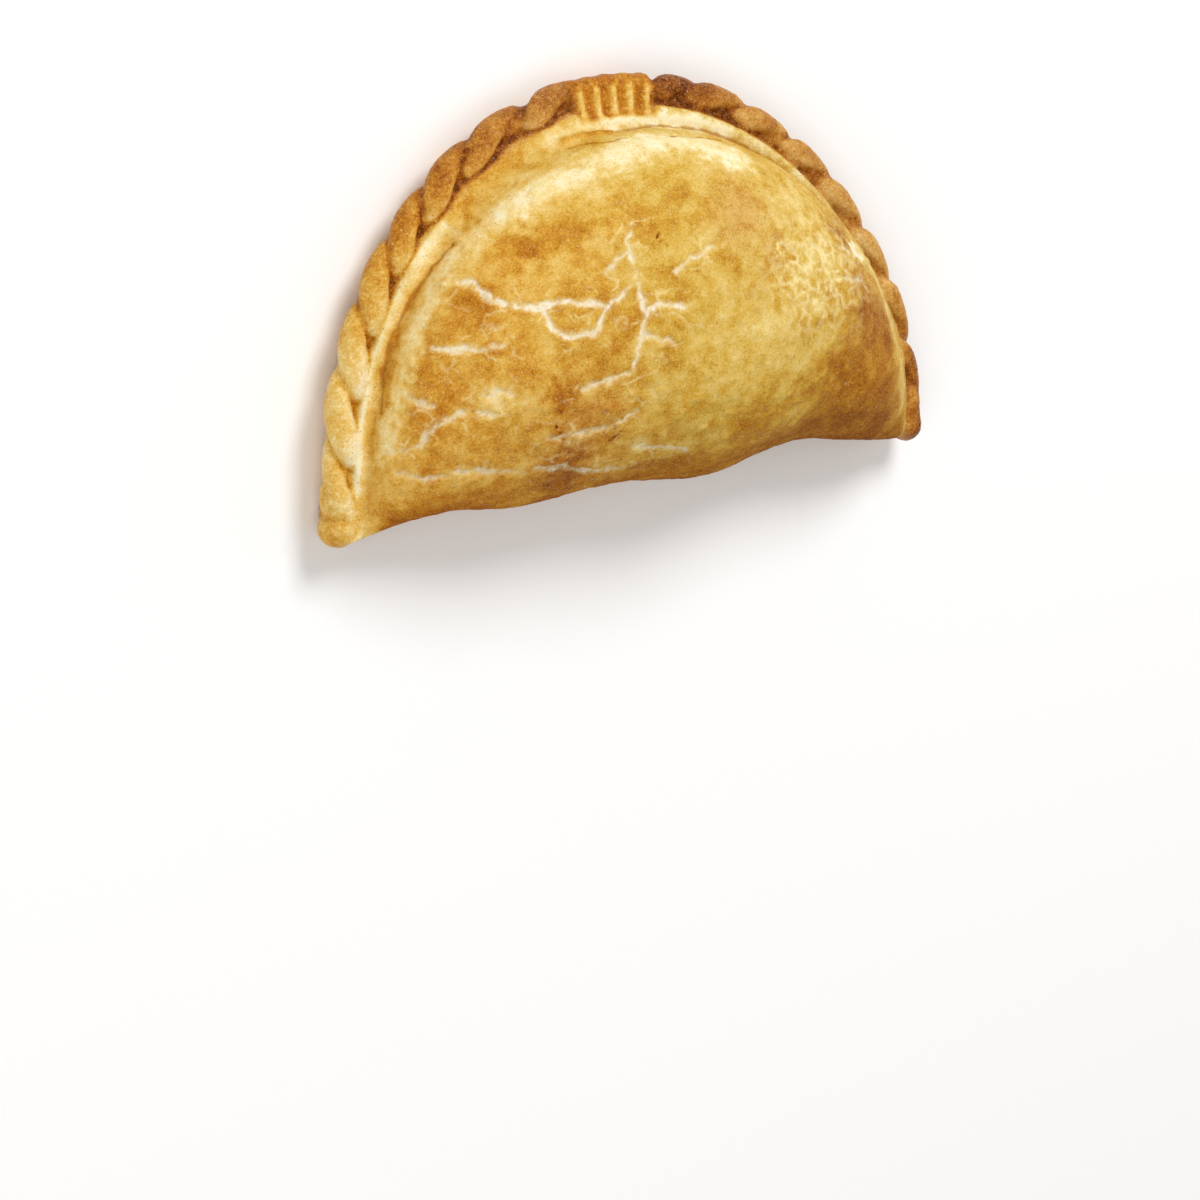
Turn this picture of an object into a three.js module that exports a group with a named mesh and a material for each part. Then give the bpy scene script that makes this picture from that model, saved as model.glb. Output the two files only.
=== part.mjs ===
// An empanada lying on its flat baked side: a half-round pasty with a plump belly, a folded
// edge along the front and a twisted rope seam round the curved edge.
// Millimetres. +X runs along the fold, +Y from the fold to the middle of the rope, +Z up.
// The crust is one closed skin. Columns follow the outline all the way round, and each column
// is a section that runs from the middle of the top over the belly, the bead and the rope,
// round the edge and back to the middle of the underside.
import * as THREE from "three";
import { mergeVertices } from "three/addons/utils/BufferGeometryUtils.js";

const { lerp, clamp, smoothstep, seededRandom } = THREE.MathUtils;

// Outline
const HALF_LENGTH = 63.9; // from the middle of the fold to a tip
const ROPE_REACH = 73.7; // from the fold to the top of the curved edge
const TIP_DROP = 4.6; // the rounded tips hang this far below the line between them
const TIP_DROP_LEFT = 1.7; // and the left one hangs lower
const TIP_SHARPNESS = 6;
const FOLD_LIFT = 0.2;
const FOLD_FLATNESS = 7; // the fold stays straight until close to the tips
const FOLD_WAVE = 0.8;
const FOLD_WAVE_LENGTH = 37;
const FOLD_WAVE_CREST = -47;
const FOLD_HOLLOW = 2.6; // the fold is drawn in on the right
const FOLD_HOLLOW_X = 36;
const FOLD_HOLLOW_RUN = 16;

// Belly
const THICKNESS = 36;
const CROWN_X = 1;
const CROWN_Y = 30;
const BELLY_X = 0.6; // the belly is a little fuller on the right
const BELLY_HALF_LENGTH = 57.8;
const BELLY_REACH = 64.4;
const FOLD_FULLNESS = 2.5; // the filling sits nearer to the fold than to the rope
const BELLY_STEEPNESS = 0.47;
const EDGE_Z = 11.5; // height of the belly's edge: the outermost line of the fold, and the groove
const EDGE_Z_AT_TIP = 9.5;
const EDGE_RUN = 20; // the edge comes down over this length
// Lumps of filling under the crust: x, y, radius, height
const LUMPS = [
  [-34, 22, 11, 0.9],
  [-20, 44, 12, -0.7],
  [-6, 12, 10, 0.6],
  [8, 34, 9, -0.8],
  [26, 20, 13, 0.7],
  [30, 42, 10, 0.8],
  [-44, 6, 8, -0.6],
  [46, 12, 8, 0.6],
];

// Fold
const FOLD_TUCK = 9; // the underside turns up this far inside the fold
const FOLD_SHOULDER = 0.93; // where the belly ends and the fold begins, as a share of the ray
const FOLD_SIDE = 0.965;
const FOLD_TURN = 0.3; // how much of the turn to the underside belongs to the side

// Rope, as a section: distance in from the outline, and height
const ROPE_CENTRE_IN = 2.6;
const ROPE_CENTRE_Z = 6.9;
const ROPE_HALF_WIDTH = 3.7;
const ROPE_HALF_HEIGHT = 4.1;
const ROPE_INNER_ANGLE = THREE.MathUtils.degToRad(35);
const ROPE_OUTER_ANGLE = THREE.MathUtils.degToRad(225);
const BASE_TUCK = 5.5; // the underside turns up this far inside the rope

// Twist of the rope, measured along the outline from the middle of the curve
const LOBE_PITCH = 12.1;
const LOBES_PER_SIDE = 8;
const FIRST_CREASE_LEFT = -21.2;
const FIRST_CREASE_RIGHT = 16.5;
const LOBE_SLANT = 7;
const SLANT_FROM_TIP = [2, 16]; // the slant grows over these distances from a tip
const SLANT_FROM_PANEL = 8; // and over this distance from the panel
const LOBE_ROUNDNESS = 1.9;
const CREASE_DEPTH = 0.34; // as a share of the rope's radius, at the outer foot
const CREASE_DEPTH_INSIDE = 0.44;
const LOBE_UNEVENNESS = 0.05;
const LOBE_SEED = 7;
const SMOOTH_TIP = 6; // the last crease fades out over this length

// Pressed panel in the middle of the rope, with plain fork ridges
const PANEL_MIDDLE = -1.2;
const PANEL_HALF = 7.2;
const PANEL_RUN = 2; // the rope rises out of the panel over this length
const PANEL_CENTRE_IN = 3.7;
const PANEL_HALF_WIDTH = 4.3;
const PANEL_HALF_HEIGHT = 2.7;
const PANEL_SQUARENESS = 5;
const RIDGES = 5;
const RIDGE_SPACING = 3.3;
const RIDGE_WIDTH = 0.6;
const RIDGE_HEIGHT = 0.7;

// Bead between the rope and the belly
const BEAD_HEIGHT = 1.5;
const BEAD_HEIGHT_PLAIN = 0.5;
const BEAD_LEFT = [-96, -46]; // the stretches where the bead stands out
const BEAD_TOP = [-14, 58];
const BEAD_RUN = 7; // and the length over which it fades

// Fineness
const BELLY_RINGS = 10;
const RING_CROWDING = 0.9; // the rings of the belly stand closer towards its edge
const BEAD_RINGS = 4;
const ROPE_RINGS = 10;
const TUCK_RINGS = 3;
const BASE_RINGS = 2;
const FOLD_COLUMNS = 36;
const LOBE_COLUMNS = [0, 0.08, 0.25, 0.42, 0.58, 0.75, 0.92];
const RIDGE_COLUMNS = 4;
const TIP_COLUMNS = 3;
const TIP_BLEND = 8; // rope and fold run into each other over this length on both sides of a tip

const rim = new THREE.EllipseCurve(0, 0, HALF_LENGTH, ROPE_REACH, Math.PI, 0, true);
rim.arcLengthDivisions = 2000;
const RIM_HALF = rim.getLength() / 2;

// 1 inside [from, to], fading to 0 over the run on both sides.
function plateau(value, [from, to], run) {
  return smoothstep(value, from - run, from) * (1 - smoothstep(value, to, to + run));
}

// A repeatable uneven number from -1 to 1 for a lobe.
function uneven(index) {
  return 2 * seededRandom(LOBE_SEED + index) - 1;
}

// The point at a distance along the rim from its middle, moved inwards.
function rimPoint(along, inwards) {
  const share = clamp(0.5 + along / (2 * RIM_HALF), 0, 1);
  const point = rim.getPointAt(share);
  const tangent = rim.getTangentAt(share);
  return new THREE.Vector2(point.x + tangent.y * inwards, point.y - tangent.x * inwards);
}

// The point of the groove beside a point of the rim.
function groovePoint(onRim) {
  const x = BELLY_X + (onRim.x * BELLY_HALF_LENGTH) / HALF_LENGTH;
  return new THREE.Vector2(x, (onRim.y * BELLY_REACH) / ROPE_REACH);
}

function foldLine(x) {
  const share = Math.min(Math.abs(x) / HALF_LENGTH, 1);
  const rounding = 1 - share ** TIP_SHARPNESS;
  const tipDrop = TIP_DROP - (TIP_DROP_LEFT * x) / HALF_LENGTH;
  const drop = tipDrop * rounding ** (1 / TIP_SHARPNESS);
  const arch = (tipDrop + FOLD_LIFT) * (1 - share ** FOLD_FLATNESS);
  const wave = FOLD_WAVE * Math.cos((2 * Math.PI * (x - FOLD_WAVE_CREST)) / FOLD_WAVE_LENGTH);
  const hollow = FOLD_HOLLOW * Math.exp(-(((x - FOLD_HOLLOW_X) / FOLD_HOLLOW_RUN) ** 2));
  return arch - drop + rounding * (wave + hollow);
}

// How full the belly is at a point: 0 along the fold and along the groove.
function filling(x, y) {
  const fromFold = clamp((y - foldLine(x)) / BELLY_REACH, 0, 1);
  const overFold = 1 - (1 - fromFold) ** FOLD_FULLNESS;
  const inGroove = 1 - ((x - BELLY_X) / BELLY_HALF_LENGTH) ** 2 - (y / BELLY_REACH) ** 2;
  return overFold * Math.max(inGroove, 0);
}

const CROWN_FILLING = filling(CROWN_X, CROWN_Y);

function edgeHeight(x) {
  return lerp(EDGE_Z, EDGE_Z_AT_TIP, smoothstep(Math.abs(x), HALF_LENGTH - EDGE_RUN, HALF_LENGTH));
}

// A point of the belly on the ray from the crown to an edge point.
function bellyPoint(edge, share) {
  const x = lerp(CROWN_X, edge.x, share);
  const y = lerp(CROWN_Y, edge.y, share);
  const rise = (filling(x, y) / CROWN_FILLING) ** BELLY_STEEPNESS;
  let z = lerp(edgeHeight(x), THICKNESS, rise);
  for (const [lumpX, lumpY, radius, height] of LUMPS)
    z += height * rise * Math.exp(-((x - lumpX) ** 2 + (y - lumpY) ** 2) / radius ** 2);
  return new THREE.Vector3(x, y, z);
}

// Place in the twist: which lobe, and how far across it from crease to crease.
function lobeAt(along) {
  const onLeft = along < PANEL_MIDDLE;
  const fromCrease = onLeft ? FIRST_CREASE_LEFT - along : along - FIRST_CREASE_RIGHT;
  const turns = fromCrease / LOBE_PITCH;
  const lobe = clamp(Math.floor(turns), -1, LOBES_PER_SIDE - 1);
  const index = onLeft ? 2 * LOBES_PER_SIDE - lobe : lobe;
  return { index, across: clamp(turns - lobe, 0, 1) };
}

function inPanel(along) {
  return plateau(along, [PANEL_MIDDLE - PANEL_HALF, PANEL_MIDDLE + PANEL_HALF], PANEL_RUN);
}

// The rope leans along the rim, except in the panel and at the tips.
function slantAt(along) {
  const nearTip = smoothstep(RIM_HALF - Math.abs(along), ...SLANT_FROM_TIP);
  const fromPanel = Math.abs(along - PANEL_MIDDLE) - PANEL_HALF;
  const nearPanel = smoothstep(fromPanel, 0, SLANT_FROM_PANEL);
  return LOBE_SLANT * nearTip * nearPanel;
}

function ridgeAt(along) {
  let height = 0;
  for (let ridge = 0; ridge < RIDGES; ridge++) {
    const middle = PANEL_MIDDLE + (ridge - (RIDGES - 1) / 2) * RIDGE_SPACING;
    height += RIDGE_HEIGHT * Math.exp(-(((along - middle) / RIDGE_WIDTH) ** 2));
  }
  return height;
}

function power(value, exponent) {
  return Math.sign(value) * Math.abs(value) ** exponent;
}

// The rope's section at a share of the way from its outer foot (0) to its inner crease (1).
function ropeSection(along, share) {
  const panel = inPanel(along);
  const { index, across } = lobeAt(along);
  const round = (1 - Math.abs(2 * across - 1) ** LOBE_ROUNDNESS) ** 0.5;
  const size = 1 + LOBE_UNEVENNESS * uneven(index);
  const atTip = 1 - smoothstep(RIM_HALF - Math.abs(along), 0, SMOOTH_TIP);
  const depth = lerp(CREASE_DEPTH, CREASE_DEPTH_INSIDE, share);
  const crease = (1 - round) * depth * (1 - atTip);
  const lobe = lerp(size * (1 - crease), 1, panel);
  const angle = lerp(ROPE_OUTER_ANGLE, ROPE_INNER_ANGLE, share);
  const exponent = 2 / lerp(2, PANEL_SQUARENESS, panel);
  const halfWidth = lerp(ROPE_HALF_WIDTH, PANEL_HALF_WIDTH, panel) * lobe;
  const halfHeight = lerp(ROPE_HALF_HEIGHT, PANEL_HALF_HEIGHT, panel) * lobe;
  const ridge = panel * ridgeAt(along) * Math.max(Math.sin(angle), 0);
  const centreIn = lerp(ROPE_CENTRE_IN, PANEL_CENTRE_IN, panel);
  return {
    inwards: centreIn + halfWidth * power(Math.cos(angle), exponent),
    height: ROPE_CENTRE_Z + halfHeight * power(Math.sin(angle), exponent) + ridge,
  };
}

// A quarter turn from an upright side at the start to the flat underside.
function tuck(fromIn, fromZ, toIn, share) {
  const turn = (share * Math.PI) / 2;
  return { inwards: lerp(fromIn, toIn, 1 - Math.cos(turn)), height: fromZ * (1 - Math.sin(turn)) };
}

// Shares of the way along each stretch of a section, the same for every column.
const shares = (count) => Array.from({ length: count }, (_, i) => (i + 1) / count);
const BELLY_SHARES = shares(BELLY_RINGS).map((share) => Math.sin((share * Math.PI) / 2) ** RING_CROWDING);
const BEAD_SHARES = shares(BEAD_RINGS);
const ROPE_SHARES = shares(ROPE_RINGS);
const TUCK_SHARES = shares(TUCK_RINGS);
const BASE_SHARES = shares(BASE_RINGS).map((share) => 1 - share / (1 + 1 / BASE_RINGS));

function basePoint(edge, share) {
  return new THREE.Vector3(lerp(CROWN_X, edge.x, share), lerp(CROWN_Y, edge.y, share), 0);
}

// The section through the rope at a place along the rim, from the belly down to the base.
function ropeColumn(along) {
  const slant = slantAt(along);
  const beadHeight = lerp(
    BEAD_HEIGHT_PLAIN,
    BEAD_HEIGHT,
    Math.max(plateau(along, BEAD_LEFT, BEAD_RUN), plateau(along, BEAD_TOP, BEAD_RUN)),
  );
  const onRim = rimPoint(along, 0);
  const groove = groovePoint(onRim);
  const grooveIn = groove.distanceTo(onRim);
  const grooveZ = edgeHeight(groove.x);
  const inner = ropeSection(along, 1);
  const outer = ropeSection(along, 0);
  const points = BELLY_SHARES.map((share) => bellyPoint(groove, share));
  const place = (shift, { inwards, height }) => {
    const flat = rimPoint(along + shift, inwards);
    points.push(new THREE.Vector3(flat.x, flat.y, height));
  };
  for (const share of BEAD_SHARES)
    place((-slant / 2) * share, {
      inwards: lerp(grooveIn, inner.inwards, share),
      height: lerp(grooveZ, inner.height, share) + beadHeight * Math.sin(Math.PI * share),
    });
  for (const share of ROPE_SHARES)
    place(slant * (share - 0.5), ropeSection(along, 1 - share));
  for (const share of TUCK_SHARES)
    place((slant / 2) * (1 - share), tuck(outer.inwards, outer.height, BASE_TUCK, share));
  const base = rimPoint(along, BASE_TUCK);
  for (const share of BASE_SHARES) points.push(basePoint(base, share));
  return points;
}

// The section through the fold at a place along it, with as many points as through the rope.
function foldColumn(x) {
  const edge = new THREE.Vector2(x, foldLine(x));
  const points = [];
  const above = (share) => points.push(bellyPoint(edge, share));
  const below = (share) => {
    const { inwards, height } = tuck(0, edgeHeight(x), FOLD_TUCK, share);
    points.push(new THREE.Vector3(edge.x, edge.y + inwards, height));
  };
  const upper = ROPE_SHARES.length / 2;
  BELLY_SHARES.forEach((share) => above(FOLD_SHOULDER * share));
  BEAD_SHARES.forEach((share) => above(lerp(FOLD_SHOULDER, FOLD_SIDE, share)));
  ROPE_SHARES.slice(0, upper).forEach((share) => above(lerp(FOLD_SIDE, 1, 2 * share)));
  ROPE_SHARES.slice(upper).forEach((share) => below(FOLD_TURN * (2 * share - 1)));
  TUCK_SHARES.forEach((share) => below(lerp(FOLD_TURN, 1, share)));
  const base = new THREE.Vector2(edge.x, edge.y + FOLD_TUCK);
  BASE_SHARES.forEach((share) => points.push(basePoint(base, share)));
  return points;
}

// Rope and fold melt together at the tips.
function mixColumns(rope, fold, ropeShare) {
  return rope.map((point, i) => fold[i].clone().lerp(point, ropeShare));
}

// Places along the rim: every crease and ridge lies on a column.
function rimPlaces() {
  const left = [];
  const right = [];
  const creaseLeft = (k) => FIRST_CREASE_LEFT - k * LOBE_PITCH;
  const creaseRight = (k) => FIRST_CREASE_RIGHT + k * LOBE_PITCH;
  for (let lobe = 0; lobe < LOBES_PER_SIDE; lobe++)
    for (const across of LOBE_COLUMNS) {
      const leftStart = lobe ? creaseLeft(lobe - 1) : PANEL_MIDDLE - PANEL_HALF;
      const rightStart = lobe ? creaseRight(lobe - 1) : PANEL_MIDDLE + PANEL_HALF;
      left.push(lerp(leftStart, creaseLeft(lobe), across));
      right.push(lerp(rightStart, creaseRight(lobe), across));
    }
  const lastLeft = creaseLeft(LOBES_PER_SIDE - 1);
  const lastRight = creaseRight(LOBES_PER_SIDE - 1);
  for (let step = 0; step <= TIP_COLUMNS; step++) {
    left.push(lerp(lastLeft, -RIM_HALF, step / TIP_COLUMNS));
    right.push(lerp(lastRight, RIM_HALF, step / TIP_COLUMNS));
  }
  const panel = [];
  const panelColumns = RIDGES * RIDGE_COLUMNS;
  for (let step = 1; step < panelColumns; step++)
    panel.push(PANEL_MIDDLE + PANEL_HALF * (1 - (2 * step) / panelColumns));
  return [...right.reverse(), ...panel, ...left];
}

// All columns, anticlockwise seen from above: along the fold from left to right, then back
// round the rope.
function allColumns() {
  const columns = [];
  for (let step = 1; step < FOLD_COLUMNS; step++) {
    const x = HALF_LENGTH * Math.sin(Math.PI * (step / FOLD_COLUMNS - 0.5));
    const fromTip = HALF_LENGTH - Math.abs(x) + Math.abs(Math.min(foldLine(x), 0));
    const ropeShare = 0.5 * (1 - smoothstep(fromTip, 0, TIP_BLEND));
    columns.push(mixColumns(ropeColumn(Math.sign(x) * RIM_HALF), foldColumn(x), ropeShare));
  }
  for (const along of rimPlaces()) {
    const fromTip = RIM_HALF - Math.abs(along);
    const ropeShare = 0.5 + 0.5 * smoothstep(fromTip, 0, TIP_BLEND);
    columns.push(mixColumns(ropeColumn(along), foldColumn(Math.sign(along) * HALF_LENGTH), ropeShare));
  }
  return columns;
}

// A sphere has the same net of rings and columns, so its points are moved onto the crust.
function crustGeometry() {
  const columns = allColumns();
  const rings = columns[0].length;
  const geometry = new THREE.SphereGeometry(1, columns.length, rings + 1);
  const position = geometry.getAttribute("position");
  const crown = bellyPoint(new THREE.Vector2(CROWN_X, CROWN_Y), 0);
  const baseMiddle = new THREE.Vector3(CROWN_X, CROWN_Y, 0);
  const across = columns.length + 1;
  for (let i = 0; i < position.count; i++) {
    const ring = Math.floor(i / across);
    const column = columns[(i % across) % columns.length];
    const point = ring === 0 ? crown : ring > rings ? baseMiddle : column[ring - 1];
    position.setXYZ(i, point.x, point.y, point.z);
  }
  geometry.deleteAttribute("normal");
  geometry.deleteAttribute("uv");
  return mergeVertices(geometry);
}

// The origin is under the middle of the whole crust, on the surface that it lies on.
const crust = crustGeometry();
crust.computeBoundingBox();
const middle = crust.boundingBox.getCenter(new THREE.Vector3());
crust.translate(-middle.x, -middle.y, -crust.boundingBox.min.z);
crust.computeVertexNormals();

const bakedCrust = new THREE.MeshStandardMaterial({ color: 0xd9a14a, roughness: 0.45, metalness: 0 });
const empanada = new THREE.Mesh(crust, bakedCrust);
empanada.name = "empanada";

const part = new THREE.Group();
part.add(empanada);

export default part;
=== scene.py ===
# %% [markdown]
# # A baked empanada
# A half-moon pasty lies on its flat side: a plump golden belly, a folded straight edge and a
# rope of twisted dough round the curve. This lesson builds it as one skin of dough. The belly
# and the seam are made as simple shapes first, a voxel remesh melts them together as an oven
# does, and the cracks, wrinkles and browning are then worked into the melted skin.

# %% The frame that everything is measured in
import math

import bmesh
import bpy
import numpy as np
from mathutils import Matrix, Vector, noise


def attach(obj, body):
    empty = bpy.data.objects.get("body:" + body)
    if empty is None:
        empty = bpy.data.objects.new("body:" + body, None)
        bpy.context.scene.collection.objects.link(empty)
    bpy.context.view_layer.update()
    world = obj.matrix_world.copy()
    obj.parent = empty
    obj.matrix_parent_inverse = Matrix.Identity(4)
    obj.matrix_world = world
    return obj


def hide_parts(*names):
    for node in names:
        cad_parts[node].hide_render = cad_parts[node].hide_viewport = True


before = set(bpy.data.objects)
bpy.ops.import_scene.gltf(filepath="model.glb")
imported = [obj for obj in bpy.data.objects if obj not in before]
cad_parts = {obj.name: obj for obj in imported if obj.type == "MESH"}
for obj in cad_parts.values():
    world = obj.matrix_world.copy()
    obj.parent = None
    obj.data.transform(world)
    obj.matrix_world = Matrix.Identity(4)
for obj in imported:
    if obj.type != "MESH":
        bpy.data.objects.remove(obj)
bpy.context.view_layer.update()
MM = 0.001
FOLD_MIDDLE = np.array([0.057, -35.597, 0.0])  # the middle of the fold, in the part's own frame

# %% [markdown]
# ## The curved edge
# The cook folds a disc of dough in half, so the curved edge is close to half an ellipse. All
# seam work happens along that edge, so it is worth having it as a ruler: a table of points
# with the distance along the edge from its middle, and the direction that points inwards.
# Lengths are in millimetres here, from the middle of the fold, and become metres at the end.

# %% A ruler round the curved edge
HALF_LENGTH = 63.9  # from the middle of the fold to a tip
ROPE_REACH = 73.7  # from the fold to the middle of the curved edge
EDGE_POINTS = 4001
turn = np.linspace(math.pi, 0, EDGE_POINTS)
edge_xy = np.stack([HALF_LENGTH * np.cos(turn), ROPE_REACH * np.sin(turn)], axis=1)
edge_along = np.concatenate([[0], np.cumsum(np.linalg.norm(np.diff(edge_xy, axis=0), axis=1))])
EDGE_HALF = edge_along[-1] / 2
edge_along -= EDGE_HALF
edge_forward = np.gradient(edge_xy, edge_along, axis=0)
edge_inwards = np.stack([edge_forward[:, 1], -edge_forward[:, 0]], axis=1)


def by_the_edge(along, inwards):
    """The points at distances along the curved edge from its middle, and inwards from it."""
    pick = lambda table: np.stack([np.interp(along, edge_along, table[:, i]) for i in (0, 1)], axis=-1)
    return pick(edge_xy) + pick(edge_inwards) * np.expand_dims(inwards, -1)


def smooth(value, low, high):
    """Rises smoothly from 0 at the low value to 1 at the high one."""
    share = np.clip((value - low) / (high - low), 0, 1)
    return share * share * (3 - 2 * share)


def between(first, second, share):
    return first + (second - first) * share


def plateau(value, low, high, run):
    """1 from the low value to the high one, and 0 further than the run outside them."""
    return smooth(value, low - run, low) * (1 - smooth(value, high, high + run))


print(f"curved edge: {2 * EDGE_HALF:.0f} mm long")

# %% [markdown]
# ## The belly
# The filling pushes the upper layer up into a dome that is fullest near the fold and runs out
# to nothing at the seam. A lathe or a sphere would be too regular, so the height is a formula:
# a product that is zero along the fold and along the groove by the seam, raised to a power
# that sets how steep the sides are, with a few soft lumps where pieces of filling lie.

# %% Height of the belly
TIP_DROP, TIP_DROP_LEFT = 4.6, 1.7  # the tips hang below the line between them, the left one lower
TIP_SHARPNESS = 6
FOLD_LIFT, FOLD_FLATNESS = 0.2, 7  # the fold stays straight until close to the tips
FOLD_WAVE, FOLD_WAVE_LENGTH, FOLD_WAVE_CREST = 0.8, 37, -47
FOLD_HOLLOW, FOLD_HOLLOW_X, FOLD_HOLLOW_RUN = 2.6, 36, 16  # the fold is drawn in on the right
FOLD_FULLNESS = 2.5  # the filling sits nearer to the fold than to the rope
SIDE_Z, SIDE_Z_AT_TIP, SIDE_RUN = 11.5, 9.5, 20  # height of the belly's edge, lower at the tips
STEEPNESS = 0.47  # the smaller, the steeper the belly's sides
BELLY_HALF_LENGTH = 57.8
BELLY_REACH = 64.4
BELLY_X = 0.6
CROWN = np.array([1.0, 30.0])
THICKNESS = 36.0
# Place, radius and height of each lump
LUMPS = [(-34, 22, 11, 0.9), (-20, 44, 12, -0.7), (-6, 12, 10, 0.6), (8, 34, 9, -0.8),
         (26, 20, 13, 0.7), (30, 42, 10, 0.8), (-44, 6, 8, -0.6), (46, 12, 8, 0.6)]


def fold_line(x):
    """The y of the fold's outermost line."""
    share = np.minimum(np.abs(x) / HALF_LENGTH, 1)
    rounding = 1 - share ** TIP_SHARPNESS
    tip_drop = TIP_DROP - TIP_DROP_LEFT * x / HALF_LENGTH
    arch = (tip_drop + FOLD_LIFT) * (1 - share ** FOLD_FLATNESS)
    wave = FOLD_WAVE * np.cos(2 * math.pi * (x - FOLD_WAVE_CREST) / FOLD_WAVE_LENGTH)
    drawn_in = FOLD_HOLLOW * np.exp(-((x - FOLD_HOLLOW_X) / FOLD_HOLLOW_RUN) ** 2)
    return arch - tip_drop * rounding ** (1 / TIP_SHARPNESS) + rounding * (wave + drawn_in)


def filling(x, y):
    """How much filling lies under a place: 0 along the fold and along the groove."""
    from_fold = np.clip((y - fold_line(x)) / BELLY_REACH, 0, 1)
    in_groove = 1 - ((x - BELLY_X) / BELLY_HALF_LENGTH) ** 2 - (y / BELLY_REACH) ** 2
    return (1 - (1 - from_fold) ** FOLD_FULLNESS) * np.maximum(in_groove, 0)


def side_height(x):
    return between(SIDE_Z, SIDE_Z_AT_TIP, smooth(np.abs(x), HALF_LENGTH - SIDE_RUN, HALF_LENGTH))


def belly_height(x, y):
    rise = (filling(x, y) / filling(*CROWN)) ** STEEPNESS
    height = between(side_height(x), THICKNESS, rise)
    for lump_x, lump_y, radius, lift in LUMPS:
        height = height + lift * rise * np.exp(-((x - lump_x) ** 2 + (y - lump_y) ** 2) / radius ** 2)
    return height


print(f"belly: {float(belly_height(*CROWN)):.1f} mm high at its crown")

# %% [markdown]
# ## Sections through the dough
# Imagine slicing the pasty from the crown outwards. Each slice goes over the belly, dips into
# the groove, climbs the bead of the seam, goes round the seam's core and tucks under to the
# flat base. Every slice has the same number of points, which makes them columns of one net.
# Slices through the fold just turn round the side instead.

# %% Sections through the seam and through the fold
BELLY_SHARES = np.sin(np.linspace(0, math.pi / 2, 37)[1:]) ** 0.9
BEAD_SHARES = np.linspace(0, 1, 11)[1:]
CORE_SHARES = np.linspace(0, 1, 25)[1:]
TUCK_SHARES = np.linspace(0, 1, 9)[1:]
BASE_SHARES = np.linspace(1, 0, 6)[1:-1]
CORE_IN, CORE_Z, CORE_HALF_WIDTH, CORE_HALF_HEIGHT = 2.4, 6.9, 1.9, 2.1
CORE_OUTER, CORE_INNER, PANEL_INNER = math.radians(225), math.radians(35), math.radians(70)
BASE_TUCK, FOLD_TUCK = 5.5, 9.0
FOLD_SHOULDER, FOLD_SIDE = 0.93, 0.965  # how far towards the fold the belly's and bead's points go
FOLD_TURN = 0.3  # how much of the turn down to the base the core's points take
PANEL_MIDDLE, PANEL_HALF, PANEL_RUN = -0.2, 8.0, 1.6
PANEL_IN, PANEL_HALF_WIDTH, PANEL_HALF_HEIGHT = 3.7, 4.3, 2.7
ROUND, PANEL_SQUARENESS = 2, 3.4
RIDGE_SPACING, RIDGE_HALF_WIDTH, RIDGE_HEIGHT = 3.7, 0.75, 0.7
RIDGE_FADE = (math.radians(95), math.radians(150))  # the ridges grow faint on the outer side
RIDGE_FADING = 0.7
RIDGES = [PANEL_MIDDLE + RIDGE_SPACING * step for step in (-2, -1, 0, 1, 2)]
BEAD_LEFT, BEAD_RIGHT = (-96, -58, 16), (-10, 88, 8)  # from, to, and the length of its fading
BEAD_PLAIN, BEAD_RISE, BEAD_PRESSED = 0.3, 1.3, 0.7


def on_panel(along):
    return plateau(along, PANEL_MIDDLE - PANEL_HALF, PANEL_MIDDLE + PANEL_HALF, PANEL_RUN)


def ridges(along):
    return sum(np.exp(-((along - middle) / RIDGE_HALF_WIDTH) ** 2) for middle in RIDGES)


def core_section(along, share):
    """Distance inwards and height of the seam's core, from its outer foot to its inner crease."""
    panel = on_panel(along)
    angle = between(CORE_OUTER, between(CORE_INNER, PANEL_INNER, panel), share)
    squareness = 2 / between(ROUND, PANEL_SQUARENESS, panel)
    rounded = lambda value: np.sign(value) * np.abs(value) ** squareness
    half_width = between(CORE_HALF_WIDTH, PANEL_HALF_WIDTH, panel)
    half_height = between(CORE_HALF_HEIGHT, PANEL_HALF_HEIGHT, panel)
    proud = RIDGE_HEIGHT * panel * ridges(along) * (1 - RIDGE_FADING * smooth(angle, *RIDGE_FADE))
    inwards = between(CORE_IN, PANEL_IN, panel) + half_width * rounded(np.cos(angle))
    height = CORE_Z + half_height * rounded(np.sin(angle))
    return inwards + proud * np.cos(angle), height + proud * np.sin(angle)


def bead_height(along):
    left, right = plateau(along, *BEAD_LEFT), plateau(along, *BEAD_RIGHT)
    return (BEAD_PLAIN + BEAD_RISE * left + BEAD_RISE * right) * (1 - BEAD_PRESSED * on_panel(along))


def with_height(flat, height):
    return np.column_stack([flat, np.broadcast_to(height, len(flat))])


def over_belly(edge, shares):
    flat = CROWN + (edge - CROWN) * shares[:, None]
    return with_height(flat, belly_height(flat[:, 0], flat[:, 1]))


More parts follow.
